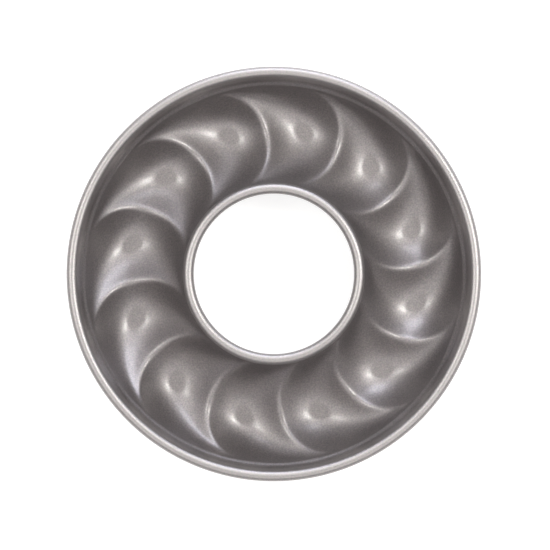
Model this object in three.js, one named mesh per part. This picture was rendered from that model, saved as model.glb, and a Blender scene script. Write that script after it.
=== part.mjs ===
// A ring-shaped cake pan. One steel sheet is pressed into twelve scoop-shaped lobes round an open
// centre, and its two edges, round the outside and round the centre, are each rolled over a steel wire.
// Millimetres, +Z up. The origin is on the axis, in the plane of the twelve feet that the pan stands on.
import * as THREE from "three";

// Driving dimensions. Angles are in degrees.
const RIM_RADIUS = 130; // outside of the outer rolled edge
const HOLE_RADIUS = 50.2; // inside of the inner rolled edge, the narrowest part of the centre
const HEIGHT = 44; // from the feet to the top of both rolled edges
const SHEET = 0.8; // thickness of the steel
const BEAD = 6.8; // outside diameter of a rolled edge
const WIRE = 4; // diameter of the wire inside a rolled edge
const WIRE_GAP = 0.6; // between the two ends of a wire, which are cut square and butted
const LOBES = 12;

// The plain wall between the outer rolled edge and the lobes, and the step that it ends in.
const WALL_DROP = 8.8;
const WALL_DRAFT = 15;
const STEP_WIDTH = 1.9;
const STEP_DROP = 1.4;

// The channel's section, along the lobes' floors and along the ridges between them. A higher power
// keeps the floor level for longer.
const FLOOR_RADIUS = 93.8;
const RIDGE_HEIGHT = 10; // of a ridge over the floor
const OUTER_FLOOR_POWER = 2.06;
const OUTER_RIDGE_POWER = 1.59;
const INNER_FLOOR_POWER = 2;
const INNER_RIDGE_POWER = 1.85;
const NECK_DRAFT = 4; // of the inner wall where it meets the rolled edge
const FOOT_DEPTH = 0.7; // how much of each lobe's round bottom is pressed flat

// Across, a lobe is a parabola each side of its floor.
const FLOOR_PLACE = 0.49; // of the floor, as a share of the way from a lobe's ridge to the next one
const OUTER_FLOOR_PLACE = 0.44; // the same at the top of the outer wall
const RIDGE_ROUNDING = 1.3; // half-width of the rounded top of a ridge

// Seen from above, a ridge is half an ellipse. Its tip is nearest the ridge before it.
const TIP_RADIUS = 81.5;
const RIDGE_SWEEP = 18.5; // from the tip to the ends
const SWEEP_CUT = 0.985; // share of the half ellipse that is used

// How finely the sheet and the wires are divided.
const INNER_ROWS = 6;
const OUTER_ROWS = 5;
const ACROSS = [-1, -0.9, -0.67, -0.4, -0.14, 0.14, 0.46, 0.82]; // -1 is a ridge, 0 a floor
const WIRE_STEPS = 60;
const WIRE_SEGMENTS = 4; // in each half of a wire's section

const PITCH = (2 * Math.PI) / LOBES;
const BEND = (BEAD - SHEET) / 2; // radius of the sheet's middle in a rolled edge
const BEAD_HEIGHT = HEIGHT - BEAD / 2;
const OUTER_BEAD_RADIUS = RIM_RADIUS - BEAD / 2;
const INNER_BEAD_RADIUS = HOLE_RADIUS + BEAD / 2;
const FLOOR_HEIGHT = SHEET / 2 - FOOT_DEPTH; // of the middle of the sheet, before the feet are pressed flat

const radians = THREE.MathUtils.degToRad;

// A place on the section of a rolled edge, in the middle of the sheet.
function onBead(radius, angle) {
  return {
    radius: radius + BEND * Math.cos(radians(angle)),
    height: BEAD_HEIGHT + BEND * Math.sin(radians(angle)),
  };
}

// Where the sheet leaves the two rolled edges, and where the lobes begin and end.
const wallTop = onBead(OUTER_BEAD_RADIUS, 180 - WALL_DRAFT);
const wallFoot = {
  radius: wallTop.radius - WALL_DROP * Math.tan(radians(WALL_DRAFT)),
  height: wallTop.height - WALL_DROP,
};
const outerEnd = { radius: wallFoot.radius - STEP_WIDTH, height: wallFoot.height - STEP_DROP };
const innerEnd = onBead(INNER_BEAD_RADIUS, NECK_DRAFT);

// The rise of the channel's walls, from 0 at the floor to 1 at the top, over the share x of their width.
const rise = (x, power) => 1 - Math.sqrt(1 - x ** power);

// The angle by which a ridge trails behind its tip, at a radius.
function trail(radius) {
  const end = radius > TIP_RADIUS ? outerEnd.radius : innerEnd.radius;
  const share = Math.min((radius - TIP_RADIUS) / (end - TIP_RADIUS), SWEEP_CUT);
  return radians(RIDGE_SWEEP) * (1 - Math.sqrt(1 - share * share));
}

// How deep a lobe is, 0 on its ridge and 1 on its floor. across runs from -1, on a lobe's own ridge,
// through 0, on its floor, to 1, on the next ridge. slope is how fast across changes per millimetre.
function scoop(across, slope) {
  const rounding = RIDGE_ROUNDING * slope;
  const rounded = (fromRidge) => Math.hypot(fromRidge, rounding) - rounding;
  return 1 - (1 - rounded(1 - Math.abs(across)) / rounded(1)) ** 2;
}

// A point in the middle of the sheet, at a row of the section and a place across a lobe.
function middle(row, across, lobe) {
  const skew = row.floorPlace / (1 - row.floorPlace);
  const share = (across + 1) / 2;
  const turn = (skew * share) / (1 - share + skew * share);
  const angle = trail(row.radius) + (lobe + turn) * PITCH;
  const slope = (2 / (PITCH * row.radius)) * (across < 0 ? 1 / skew : skew);
  const height = row.height - (row.depth ? row.depth * scoop(across, slope) : 0);
  return new THREE.Vector3(row.radius * Math.cos(angle), row.radius * Math.sin(angle), height);
}

// Rows where the sheet is plain. The lobes' places across them run on, so the divisions line up.
const plainRow = (place, floorPlace) => ({ ...place, depth: 0, floorPlace });

// A rolled edge, through angles of its section.
function curl(radius, angles, floorPlace) {
  return angles.map((angle) => plainRow(onBead(radius, angle), floorPlace));
}

// Rows from the lobes' floors to a wall's top, which is not included.
function channelRows(end, count, ridgePower, floorPower, endPlace) {
  return Array.from({ length: count }, (_, i) => {
    const x = Math.sin(((i + 0.2) / (count + 0.1)) * (Math.PI / 2));
    const ridge = FLOOR_HEIGHT + RIDGE_HEIGHT;
    const height = ridge + (end.height - ridge) * rise(x, ridgePower);
    const floor = FLOOR_HEIGHT + (end.height - FLOOR_HEIGHT) * rise(x, floorPower);
    return {
      radius: FLOOR_RADIUS + (end.radius - FLOOR_RADIUS) * x,
      height,
      depth: height - floor,
      floorPlace: FLOOR_PLACE + (endPlace - FLOOR_PLACE) * x,
    };
  });
}

// The whole section of the sheet, from the edge inside the outer roll to the edge inside the inner one.
const outerCurl = [-138, -90, -45, 0, 45, 90, 126, 180 - WALL_DRAFT];
const innerCurl = [NECK_DRAFT, 55, 90, 135, 180, 225, 270, 318];
const rows = [
  ...curl(OUTER_BEAD_RADIUS, outerCurl, OUTER_FLOOR_PLACE),
  plainRow(wallFoot, OUTER_FLOOR_PLACE),
  plainRow(outerEnd, OUTER_FLOOR_PLACE),
  ...channelRows(outerEnd, OUTER_ROWS, OUTER_RIDGE_POWER, OUTER_FLOOR_POWER, OUTER_FLOOR_PLACE).reverse(),
  ...channelRows(innerEnd, INNER_ROWS, INNER_RIDGE_POWER, INNER_FLOOR_POWER, FLOOR_PLACE),
  ...curl(INNER_BEAD_RADIUS, innerCurl, FLOOR_PLACE),
];

// The sheet's two faces: its middle moved half the thickness each way, and pressed flat under the lobes.
function faces(grid) {
  const last = grid.length - 1;
  const around = grid[0].length;
  const food = [];
  const back = [];
  grid.forEach((row, i) => {
    food.push([]);
    back.push([]);
    row.forEach((point, j) => {
      const along = grid[Math.min(i + 1, last)][j].clone().sub(grid[Math.max(i - 1, 0)][j]);
      const sideways = row[(j + 1) % around].clone().sub(row[(j + around - 1) % around]);
      const half = sideways.cross(along).normalize().multiplyScalar(SHEET / 2);
      const above = point.clone().add(half);
      const below = point.clone().sub(half);
      above.z = Math.max(above.z, SHEET);
      below.z = Math.max(below.z, 0);
      food[i].push(above);
      back[i].push(below);
    });
  });
  return [...food, ...back.reverse()];
}

// A closed surface through rows of points that join up both ways round.
function closedGrid(grid) {
  const around = grid[0].length;
  const index = [];
  grid.forEach((_, i) => {
    const next = (i + 1) % grid.length;
    for (let j = 0; j < around; j++) {
      const [a, b] = [i * around + j, i * around + ((j + 1) % around)];
      const [c, d] = [next * around + j, next * around + ((j + 1) % around)];
      index.push(a, b, c, b, d, c);
    }
  });
  return new THREE.BufferGeometry().setFromPoints(grid.flat()).setIndex(index);
}

function panShell() {
  const grid = rows.map((row) =>
    Array.from({ length: LOBES }, (_, lobe) => ACROSS.map((across) => middle(row, across, lobe))).flat(),
  );
  return closedGrid(faces(grid));
}

// The centre line of a wire: a circle, less the gap between the wire's ends.
class WireLine extends THREE.Curve {
  constructor(radius) {
    super();
    this.radius = radius;
  }
  getPoint(t, target = new THREE.Vector3()) {
    const gap = WIRE_GAP / this.radius;
    const angle = gap / 2 + t * (2 * Math.PI - gap);
    return target.set(this.radius * Math.cos(angle), this.radius * Math.sin(angle), BEAD_HEIGHT);
  }
}

function rimWire(radius) {
  const section = new THREE.Shape().absarc(0, 0, WIRE / 2, 0, 2 * Math.PI);
  return new THREE.ExtrudeGeometry(section, {
    extrudePath: new WireLine(radius),
    steps: WIRE_STEPS,
    curveSegments: WIRE_SEGMENTS,
    bevelEnabled: false,
  });
}

const pan = new THREE.Group();

function add(name, geometry, material) {
  const mesh = new THREE.Mesh(geometry, material);
  mesh.name = name;
  pan.add(mesh);
}

const nonStick = new THREE.MeshStandardMaterial({ color: 0x5f595b, roughness: 0.38, metalness: 0.8 });
const bareSteel = new THREE.MeshStandardMaterial({ color: 0xb9b9bb, roughness: 0.3, metalness: 1 });

add("pan_shell", panShell(), nonStick);
add("outer_rim_wire", rimWire(OUTER_BEAD_RADIUS), bareSteel);
add("inner_rim_wire", rimWire(INNER_BEAD_RADIUS), bareSteel);

export default pan;
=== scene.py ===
# A ring-shaped cake pan of pressed steel with a satin non-stick coating. One sheet is drawn into twelve
# curved scoops round an open centre, and its two edges are rolled over steel wires.
# Blender works in metres. The shape is worked out in millimetres, in the CAD model's frame: +Z up,
# with the origin on the axis, in the plane of the feet.
import math

import bpy
import numpy as np
from mathutils import Euler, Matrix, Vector


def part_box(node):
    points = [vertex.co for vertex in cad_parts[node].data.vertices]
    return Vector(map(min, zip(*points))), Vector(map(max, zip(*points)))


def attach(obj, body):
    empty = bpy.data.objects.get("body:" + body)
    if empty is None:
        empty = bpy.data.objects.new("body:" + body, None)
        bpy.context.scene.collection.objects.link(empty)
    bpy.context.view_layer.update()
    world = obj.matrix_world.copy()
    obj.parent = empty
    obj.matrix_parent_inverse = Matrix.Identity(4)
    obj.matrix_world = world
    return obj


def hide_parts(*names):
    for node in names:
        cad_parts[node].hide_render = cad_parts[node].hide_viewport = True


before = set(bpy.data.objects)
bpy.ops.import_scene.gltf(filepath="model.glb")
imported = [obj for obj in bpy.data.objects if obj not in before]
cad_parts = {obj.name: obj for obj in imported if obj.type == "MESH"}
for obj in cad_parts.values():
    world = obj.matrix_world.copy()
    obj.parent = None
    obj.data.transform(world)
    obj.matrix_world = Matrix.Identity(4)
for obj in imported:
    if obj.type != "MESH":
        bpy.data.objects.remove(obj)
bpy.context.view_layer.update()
MM = 0.001

# Sizes, in millimetres. They are the CAD model's, except where a comment says otherwise. A wire's
# thickness is read from the CAD.
RIM_RADIUS = 130.0  # outside of the outer rolled edge
HOLE_RADIUS = 50.2  # inside of the inner rolled edge
HEIGHT = 44.0
SHEET = 0.8
BEAD = 6.8  # outside diameter of a rolled edge
WIRE_BOX = [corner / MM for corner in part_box("outer_rim_wire")]
WIRE = WIRE_BOX[1].z - WIRE_BOX[0].z
BEND = (BEAD - SHEET) / 2  # radius of the sheet's middle in a rolled edge
BEAD_HEIGHT = HEIGHT - BEAD / 2
OUTER_BEAD_RADIUS = RIM_RADIUS - BEAD / 2
INNER_BEAD_RADIUS = HOLE_RADIUS + BEAD / 2
CURL_END = 40  # degrees under the level of a roll's centre, where the sheet stops; 42 in the CAD
WIRE_GAP = 0.6  # between the two ends of a wire
LOBES = 12
PITCH = 2 * math.pi / LOBES

# The plain wall under the outer rolled edge, and the step that it ends in.
WALL_DROP = 8.8
WALL_DRAFT = 15
STEP_WIDTH = 1.9
STEP_DROP = 1.4

# The channel's section, along the lobes' floors and along the ridges between them. A higher power
# keeps the floor level for longer.
FLOOR_RADIUS = 93.8
FOOT_DEPTH = 0.7  # how much of each lobe's round bottom is pressed flat
FLOOR_HEIGHT = SHEET / 2 - FOOT_DEPTH  # of the middle of the sheet, before the feet are pressed flat
RIDGE_HEIGHT = 10.0  # of a ridge over the floor
OUTER_FLOOR_POWER = 2.06
OUTER_RIDGE_POWER = 1.59
INNER_FLOOR_POWER = 2.0
INNER_RIDGE_POWER = 1.85
NECK_DRAFT = 4  # degrees, of the inner wall where it meets the rolled edge
FOOT_SOFTNESS = 0.25  # how gently the inside of a flat foot runs into the lobe; none in the CAD
SOFTENING = 2  # passes that round the section's sharp bends, as pressing does; none in the CAD

# Across, a lobe is a parabola each side of its floor.
FLOOR_PLACE = 0.49  # of the floor, as a share of the way from a lobe's ridge to the next one
OUTER_FLOOR_PLACE = 0.44  # the same at the top of the outer wall
RIDGE_ROUNDING = 2.0  # half-width of the rounded top of a ridge; 1.3 in the CAD

# Seen from above, a ridge is half an ellipse. Its tip is nearest the ridge before it.
TIP_RADIUS = 81.5
RIDGE_SWEEP = 18.5  # degrees, from the tip to the ends
SWEEP_CUT = 0.985  # share of the half ellipse that is used

# How finely the sheet and the wires are divided.
ACROSS_STEPS = 40
EVENNESS = 0.45  # of the divisions across a lobe; the rest crowd towards the ridges
CHANNEL_ROWS = 60  # of the section on each side of the floor, before the rows are spaced evenly
WALL_ROWS = 8
STEP_ROWS = 3
CURL_STEPS = 30
BODY_ROWS = 150
WIRE_STEPS = 240
WIRE_SIDES = 20

# The coating, in metres and in Blender's units. Linear colours, from a grain's dark parts to its light.
DULL = ((0.188, 0.173, 0.173), (0.272, 0.252, 0.252))
# The rolled edges' colour, painted paler than the coating's: a painted highlight for the brighter light
# that they catch.
PAINTED_RIM_HIGHLIGHT = ((0.322, 0.304, 0.302), (0.385, 0.365, 0.363))
RIM_MASK_HEIGHTS = (0.036, 0.0395)  # height, from where the coating is plain to where the rolled edges are painted paler, a painted highlight, and smoother
RIM_ROUGHNESS = 0.46
SATIN_ROUGHNESS = (0.47, 0.53)  # varies over the mottle
COAT_WEIGHT = 0.8  # of the clear gloss, which is left off the rolled edges
COAT_ROUGHNESS = 0.25
SPECKLE = 0.12  # share of the flakes' own colours
NOISE_RANGE = (0.3, 0.7)  # in which most of a noise texture's values lie
MOTTLE_SCALE = 22
PEEL_SCALE = 420
FLAKE_SCALE = 1000
PEEL_BUMP = (0.00006, 0.3)  # height in metres, and strength
GRAIN_BUMP = (0.00005, 0.6)

# The bare steel of the wires.
DRAWN_COLOUR = (0.48, 0.48, 0.49, 1)
DRAWN_SCALE = 900
DRAWN_ROUGHNESS = (0.28, 0.42)
DRAWN_BUMP = (0.00003, 0.4)

# The photographer's set, in metres: how far the pan is turned, and where the camera hangs.
TURN = math.radians(2.5)
CAMERA_HEIGHT = 1.3
PICTURE_WIDTH = 0.34475  # of the plane through the rolled edges that the picture takes in
PICTURE_SHIFT = 0.0007  # that the pan lies left of the middle and above it

# The room's brightness by a direction's height, which is 0 at the horizon and 1 straight up. It's dark
# at both, and pale between them.
ROOM_STRENGTH = 1.9
ROOM_STOPS = [
    (0.0, 0.08),
    (0.3, 0.1),
    (0.47, 0.2),
    (0.6, 0.83),
    (0.78, 1.0),
    (0.86, 1.0),
    (0.92, 0.78),
    (0.96, 0.3),
    (1.0, 0.06),
]
ROOM_GREEN = 0.977
ROOM_BLUE = (1.0, 0.962)  # up to half the height, and above it, where the light is warmer

# The soft boxes: azimuth as the picture shows it, from its right, and angle from the vertical, in
# degrees; distance, width and height in metres; watts; colour.
LIGHTS = {
    "right_box": (16, 34, 1.3, 0.38, 0.38, 6.8, (0.98, 1.0, 0.95)),
    "left_box": (165, 33, 1.3, 0.36, 0.36, 3.5, (0.98, 1.0, 0.95)),
    "window": (88, 60, 1.6, 1.4, 0.7, 15.5, (0.87, 0.905, 1.0)),
    "low_sky": (62, 70, 1.6, 1.8, 0.5, 2.6, (0.7, 0.78, 1.0)),
}

# The white sheet under the pan.
FLOOR_HALF_WIDTH = 3000  # millimetres
FLOOR_GREY = 0.5
FLOOR_ROUGHNESS = 0.8
FLOOR_GLOW = 0.65


# ---- The sheet ----


def on_bead(radius, angle):
    """A place on the section of a rolled edge, in the middle of the sheet. Angles are in degrees."""
    turn = np.radians(angle)
    return radius + BEND * np.cos(turn), BEAD_HEIGHT + BEND * np.sin(turn)


WALL_TOP = on_bead(OUTER_BEAD_RADIUS, 180 - WALL_DRAFT)
WALL_FOOT = (WALL_TOP[0] - WALL_DROP * math.tan(math.radians(WALL_DRAFT)), WALL_TOP[1] - WALL_DROP)
OUTER_END = (WALL_FOOT[0] - STEP_WIDTH, WALL_FOOT[1] - STEP_DROP)
INNER_END = on_bead(INNER_BEAD_RADIUS, NECK_DRAFT)


def rise(x, power):
    """The rise of a wall of the channel, from 0 at the floor to 1 at the top, over a share of its width."""
    return 1 - np.sqrt(1 - x**power)


def trail(radius):
    """The angle by which a ridge trails behind its tip, at a radius."""
    end = np.where(radius > TIP_RADIUS, OUTER_END[0], INNER_END[0])
    share = np.minimum((radius - TIP_RADIUS) / (end - TIP_RADIUS), SWEEP_CUT)
    return math.radians(RIDGE_SWEEP) * (1 - np.sqrt(1 - share * share))


def scoop(across, slope):
    """How deep a lobe is, 0 on its ridges and 1 on its floor. slope is across per millimetre."""
    rounding = RIDGE_ROUNDING * slope

    def rounded(from_ridge):
        return np.hypot(from_ridge, rounding) - rounding

    return 1 - (1 - rounded(1 - np.abs(across)) / rounded(1)) ** 2


def plain_rows(places, floor_place):
    """Rows of the section where the sheet is plain: radius, height, depth of the lobes, floor place."""
    return [(radius, height, 0.0, floor_place) for radius, height in places]


def channel_rows(end, ridge_power, floor_power, end_place):
    """Rows from the lobes' floors to a wall's top, which is not included."""
    x = np.sin((np.arange(CHANNEL_ROWS) + 0.2) / (CHANNEL_ROWS + 0.1) * math.pi / 2)
    ridge_foot = FLOOR_HEIGHT + RIDGE_HEIGHT
    ridge = ridge_foot + (end[1] - ridge_foot) * rise(x, ridge_power)
    floor = FLOOR_HEIGHT + (end[1] - FLOOR_HEIGHT) * rise(x, floor_power)
    radius = FLOOR_RADIUS + (end[0] - FLOOR_RADIUS) * x
    place = FLOOR_PLACE + (end_place - FLOOR_PLACE) * x
    return list(zip(radius, ridge, ridge - floor, place))


def between(start, end, count):
    """Places on a straight line, without its two ends."""
    step = (np.array(end) - start) / (count + 1)
    return [tuple(start + step * i) for i in range(1, count + 1)]


def curl(radius, start, end):
    """Places round a rolled edge, both ends included."""
    return [on_bead(radius, angle) for angle in np.linspace(start, end, CURL_STEPS + 1)]


def body_section():
    """The section between the two rolled edges, from the outer one to the inner one."""
    wall = [WALL_TOP, *between(WALL_TOP, WALL_FOOT, WALL_ROWS), WALL_FOOT]
    step = [*between(WALL_FOOT, OUTER_END, STEP_ROWS), OUTER_END]
    outer = channel_rows(OUTER_END, OUTER_RIDGE_POWER, OUTER_FLOOR_POWER, OUTER_FLOOR_PLACE)
    inner = channel_rows(INNER_END, INNER_RIDGE_POWER, INNER_FLOOR_POWER, FLOOR_PLACE)
    return [
        *plain_rows(wall + step, OUTER_FLOOR_PLACE),
        *reversed(outer),
        *inner,
        *plain_rows([INNER_END], FLOOR_PLACE),
    ]


def across_places():
    """The divisions of a lobe from its ridge, -1, to the next one, closer together at the ridges."""
    even = np.linspace(-1, 1, ACROSS_STEPS, endpoint=False)
    return EVENNESS * even + (1 - EVENNESS) * np.sin(even * math.pi / 2)


def lay_out(rows):
    """The middle of the sheet, as a grid of points: one line for each row of the section."""
    radius, height, depth, place = (np.array(column)[:, None] for column in zip(*rows))
    across = np.tile(across_places(), LOBES)[None, :]
    lobe = np.repeat(np.arange(LOBES), ACROSS_STEPS)[None, :]
    skew = place / (1 - place)
    share = (across + 1) / 2
    turn = skew * share / (1 - share + skew * share)
    angle = trail(radius) + (lobe + turn) * PITCH
    slope = 2 / (PITCH * radius) * np.where(across < 0, 1 / skew, skew)
    z = height - depth * scoop(across, slope)
    return np.stack([radius * np.cos(angle), radius * np.sin(angle), z], axis=-1)


def even_out(grid):
    """The same surface with its rows the same distance apart down each column."""
    result = np.empty((BODY_ROWS, grid.shape[1], 3))
    lengths = np.linalg.norm(np.diff(grid, axis=0), axis=2)
    along = np.vstack([np.zeros(grid.shape[1]), np.cumsum(lengths, axis=0)])
    for column in range(grid.shape[1]):
        wanted = np.linspace(0, along[-1, column], BODY_ROWS)
        for axis in range(3):
            result[:, column, axis] = np.interp(wanted, along[:, column], grid[:, column, axis])
    return result


def soften(grid):
    """Rounds sharp bends along the section. The first and last rows stay."""
    for _ in range(SOFTENING):
        grid[1:-1] = (grid[:-2] + 2 * grid[1:-1] + grid[2:]) / 4
    return grid


def sheet_middle():
    """The middle of the whole sheet, from the edge in the outer roll to the edge in the inner one."""
    outer_curl = curl(OUTER_BEAD_RADIUS, CURL_END - 180, 180 - WALL_DRAFT)
    inner_curl = curl(INNER_BEAD_RADIUS, NECK_DRAFT, 360 - CURL_END)
    outer = lay_out(plain_rows(outer_curl, OUTER_FLOOR_PLACE))
    inner = lay_out(plain_rows(inner_curl, FLOOR_PLACE))
    body = soften(even_out(lay_out(body_section())))
    return np.concatenate([outer[:-1], body, inner[1:]])


def faces_of_sheet(middle):
    """The inside and the outside of the pan, half the sheet's thickness either way from its middle,
    and pressed flat under the lobes."""
    along = np.gradient(middle, axis=0)
    sideways = np.roll(middle, -1, axis=1) - np.roll(middle, 1, axis=1)
    normal = np.cross(sideways, along)
    normal /= np.linalg.norm(normal, axis=2, keepdims=True)
    inside = middle + normal * SHEET / 2
    outside = middle - normal * SHEET / 2
    above = inside[..., 2] - SHEET
    inside[..., 2] = SHEET + (above + np.sqrt(above**2 + FOOT_SOFTNESS**2)) / 2
    outside[..., 2] = np.maximum(outside[..., 2], 0)
    return inside, outside


def add_mesh(name, points, faces, flat_faces=0):
    """A mesh object through points in millimetres. It's smooth, apart from its last few faces."""
    mesh = bpy.data.meshes.new(name)
    mesh.from_pydata((np.array(points) * MM).tolist(), [], faces)
    smooth = np.ones(len(faces), bool)
    smooth[len(faces) - flat_faces :] = False
    mesh.polygons.foreach_set("use_smooth", smooth)
    mesh.update()
    piece = bpy.data.objects.new(name, mesh)
    bpy.context.scene.collection.objects.link(piece)
    return piece


def make_shell():
    """The sheet's two faces, joined at its edges. The grid of points closes both ways round."""
    inside, outside = faces_of_sheet(sheet_middle())
    grid = np.concatenate([inside, outside[::-1]])
    rows, columns = grid.shape[:2]
    i, j = np.meshgrid(np.arange(rows), np.arange(columns), indexing="ij")
    down = (i + 1) % rows * columns
    right = (j + 1) % columns
    quads = np.stack([i * columns + j, i * columns + right, down + right, down + j], axis=-1)
    return add_mesh("pan_sheet", grid.reshape(-1, 3), quads.reshape(-1, 4).tolist())


# ---- The wires ----


def make_wire(name, radius):
    """A round steel wire bent into a ring, with its two ends cut square and butted."""
    gap = WIRE_GAP / radius
    turns = np.linspace(gap / 2, 2 * math.pi - gap / 2, WIRE_STEPS)[:, None]
    sides = np.linspace(0, 2 * math.pi, WIRE_SIDES, endpoint=False)[None, :]
    distance = radius + WIRE / 2 * np.cos(sides)
    x = distance * np.cos(turns)
    y = distance * np.sin(turns)
    z = np.broadcast_to(BEAD_HEIGHT + WIRE / 2 * np.sin(sides), x.shape)
    points = np.stack([x, y, z], axis=-1)
    faces = []
    for start in range(0, (WIRE_STEPS - 1) * WIRE_SIDES, WIRE_SIDES):
        for j in range(WIRE_SIDES):
            right = (j + 1) % WIRE_SIDES
            next_start = start + WIRE_SIDES
            faces.append([start + j, next_start + j, next_start + right, start + right])
    count = WIRE_STEPS * WIRE_SIDES
    first_end = list(range(WIRE_SIDES))
    second_end = list(range(count - 1, count - WIRE_SIDES - 1, -1))
    return add_mesh(name, points.reshape(-1, 3), [*faces, first_end, second_end], flat_faces=2)


# ---- Materials ----


def new_material(name):
    material = bpy.data.materials.new(name)
    material.use_nodes = True
    nodes = material.node_tree.nodes
    return material, nodes, material.node_tree.links, nodes["Principled BSDF"]


def connect(links, value, socket):
    """Gives a socket a value, which is a number or another node's output."""
    if isinstance(value, (int, float)):
        socket.default_value = value
    else:
        links.new(value, socket)


def object_places(nodes):
    return nodes.new("ShaderNodeTexCoord").outputs["Object"]


def height_of(nodes, links, place):
    split = nodes.new("ShaderNodeSeparateXYZ")
    links.new(place, split.inputs["Vector"])
    return split.outputs["Z"]


def noise(nodes, links, place, scale, detail=2.0):
    texture = nodes.new("ShaderNodeTexNoise")
    texture.inputs["Scale"].default_value = scale
    texture.inputs["Detail"].default_value = detail
    links.new(place, texture.inputs["Vector"])
    return texture


def spread(nodes, links, value, start, end, low, high):
    """A value from start to end, spread over low to high."""
    node = nodes.new("ShaderNodeMapRange")
    node.inputs["From Min"].default_value = start
    node.inputs["From Max"].default_value = end
    node.inputs["To Min"].default_value = low
    node.inputs["To Max"].default_value = high
    links.new(value, node.inputs["Value"])
    return node.outputs["Result"]


def ramp_of(nodes, links, value, dark, light):
    """A colour between two, spread over the range of a noise texture."""
    ramp = nodes.new("ShaderNodeValToRGB")
    for element, position, colour in zip(ramp.color_ramp.elements, NOISE_RANGE, (dark, light)):
        element.position = position
        element.color = (*colour, 1)
    links.new(value, ramp.inputs["Fac"])
    return ramp.outputs["Color"]


def blend(nodes, links, mode, share, first, second):
    """Two colours blended."""
    node = nodes.new("ShaderNodeMix")
    node.data_type = "RGBA"
    node.blend_type = mode
    connect(links, share, node.inputs["Factor"])
    links.new(first, node.inputs["A"])
    links.new(second, node.inputs["B"])
    return node.outputs["Result"]


def blend_values(nodes, links, share, first, second):
    """Two values blended."""
    node = nodes.new("ShaderNodeMix")
    connect(links, share, node.inputs["Factor"])
    connect(links, first, node.inputs["A"])
    connect(links, second, node.inputs["B"])
    return node.outputs["Result"]


def bump(nodes, links, height, distance, strength, under=None):
    """A bumpy surface, which may lie over the bumps of another one."""
    node = nodes.new("ShaderNodeBump")
    node.inputs["Distance"].default_value = distance
    node.inputs["Strength"].default_value = strength
    links.new(height, node.inputs["Height"])
    if under:
        links.new(under, node.inputs["Normal"])
    return node.outputs["Normal"]


def nonstick_coating():
    """A dark, warm grey metallic coating: satin, with fine flakes and a faint orange peel. On the rolled
    edges it is smoother and lacks the clear gloss, and its colour is painted paler there: a painted
    highlight."""
    material, nodes, links, shader = new_material("nonstick_coating")
    place = object_places(nodes)
    mottle = noise(nodes, links, place, MOTTLE_SCALE, detail=4).outputs["Fac"]
    flakes = noise(nodes, links, place, FLAKE_SCALE, detail=3)
    grain = flakes.outputs["Fac"]
    # The rolled edges, found by height: they get a painted highlight in their colour, and a smoother
    # finish.
    rim_highlight_and_smoothing = spread(nodes, links, height_of(nodes, links, place), *RIM_MASK_HEIGHTS, 0, 1)

    dull = ramp_of(nodes, links, grain, *DULL)
    # The coating's own colour, and a paler copy of it on the rolled edges that is a painted highlight.
    painted_highlight = ramp_of(nodes, links, grain, *PAINTED_RIM_HIGHLIGHT)
    tint = blend(nodes, links, "MIX", rim_highlight_and_smoothing, dull, painted_highlight)
    speckled = blend(nodes, links, "OVERLAY", SPECKLE, tint, flakes.outputs["Color"])
    links.new(speckled, shader.inputs["Base Color"])

    satin = spread(nodes, links, mottle, *NOISE_RANGE, *SATIN_ROUGHNESS)
    roughness = blend_values(nodes, links, rim_highlight_and_smoothing, satin, RIM_ROUGHNESS)
    links.new(roughness, shader.inputs["Roughness"])
    shader.inputs["Metallic"].default_value = 1.0
    coat = blend_values(nodes, links, rim_highlight_and_smoothing, COAT_WEIGHT, 0.0)
    links.new(coat, shader.inputs["Coat Weight"])
    shader.inputs["Coat Roughness"].default_value = COAT_ROUGHNESS

    orange_peel = noise(nodes, links, place, PEEL_SCALE).outputs["Fac"]
    peel = bump(nodes, links, orange_peel, *PEEL_BUMP)
    links.new(bump(nodes, links, grain, *GRAIN_BUMP, under=peel), shader.inputs["Normal"])
    return material


def wire_steel():
    """Bare drawn steel, with a fine roughness."""
    material, nodes, links, shader = new_material("wire_steel")
    marks = noise(nodes, links, object_places(nodes), DRAWN_SCALE, detail=3).outputs["Fac"]
    shader.inputs["Base Color"].default_value = DRAWN_COLOUR
    shader.inputs["Metallic"].default_value = 1.0
    links.new(spread(nodes, links, marks, *NOISE_RANGE, *DRAWN_ROUGHNESS), shader.inputs["Roughness"])
    links.new(bump(nodes, links, marks, *DRAWN_BUMP), shader.inputs["Normal"])
    return material


def white_floor():
    """A white sheet that is lit from behind, so that it's white under the pan too."""
    material, _, _, shader = new_material("white_floor")
    shader.inputs["Base Color"].default_value = (FLOOR_GREY, FLOOR_GREY, FLOOR_GREY, 1)
    shader.inputs["Roughness"].default_value = FLOOR_ROUGHNESS
    shader.inputs["Emission Color"].default_value = (1, 1, 1, 1)
    shader.inputs["Emission Strength"].default_value = FLOOR_GLOW
    return material


# ---- The set ----


def add_floor():
    size = FLOOR_HALF_WIDTH
    corners = [(-size, -size, 0), (size, -size, 0), (size, size, 0), (-size, size, 0)]
    floor = add_mesh("floor", corners, [(0, 1, 2, 3)])
    floor.data.materials.append(white_floor())


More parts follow.
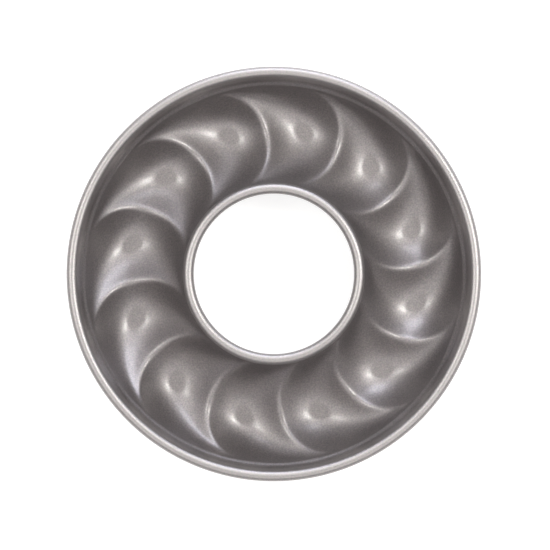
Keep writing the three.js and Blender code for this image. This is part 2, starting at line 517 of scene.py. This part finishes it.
def add_camera():
    """Straight above the pan, turned so that the ridges point as they do in the picture."""
    data = bpy.data.cameras.new("camera")
    camera = bpy.data.objects.new("camera", data)
    bpy.context.scene.collection.objects.link(camera)
    turn = Euler((0, 0, -TURN))
    camera.rotation_euler = turn
    shift = Vector((PICTURE_SHIFT, -PICTURE_SHIFT, 0))
    shift.rotate(turn)
    camera.location = shift + Vector((0, 0, CAMERA_HEIGHT))
    data.lens = data.sensor_width * (CAMERA_HEIGHT - BEAD_HEIGHT * MM) / PICTURE_WIDTH
    bpy.context.scene.camera = camera


def add_light(name, azimuth, from_vertical, distance, width, height, watts, colour):
    """A soft box that faces the pan."""
    data = bpy.data.lights.new(name, "AREA")
    data.shape = "RECTANGLE"
    data.size = width
    data.size_y = height
    data.energy = watts
    data.color = colour
    light = bpy.data.objects.new(name, data)
    bpy.context.scene.collection.objects.link(light)
    turn = math.radians(azimuth) - TURN
    tilt = math.radians(from_vertical)
    direction = Vector((math.sin(tilt) * math.cos(turn), math.sin(tilt) * math.sin(turn), math.cos(tilt)))
    light.location = direction * distance
    light.rotation_euler = direction.to_track_quat("Z", "Y").to_euler()


def add_world():
    """A room that is pale high up its walls, and dark at the horizon and overhead, round the camera."""
    world = bpy.data.worlds.new("room")
    bpy.context.scene.world = world
    world.use_nodes = True
    nodes = world.node_tree.nodes
    links = world.node_tree.links
    direction = nodes.new("ShaderNodeTexCoord").outputs["Generated"]
    ramp = nodes.new("ShaderNodeValToRGB")
    elements = ramp.color_ramp.elements
    while len(elements) < len(ROOM_STOPS):
        elements.new(0.5)
    for element, (height, grey) in zip(elements, ROOM_STOPS):
        element.position = height
        element.color = (grey, grey * ROOM_GREEN, grey * ROOM_BLUE[height > 0.5], 1)
    links.new(height_of(nodes, links, direction), ramp.inputs["Fac"])
    background = nodes["Background"]
    background.inputs["Strength"].default_value = ROOM_STRENGTH
    links.new(ramp.outputs["Color"], background.inputs["Color"])


def finish_piece(piece, node, material):
    piece.data.materials.append(material)
    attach(piece, "root")
    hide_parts(node)


add_camera()
add_world()
add_floor()
for light_name, light_box in LIGHTS.items():
    add_light(light_name, *light_box)

coating = nonstick_coating()
steel = wire_steel()
finish_piece(make_shell(), "pan_shell", coating)
finish_piece(make_wire("outer_wire", OUTER_BEAD_RADIUS), "outer_rim_wire", steel)
finish_piece(make_wire("inner_wire", INNER_BEAD_RADIUS), "inner_rim_wire", steel)

bpy.context.scene.view_settings.view_transform = "Standard"
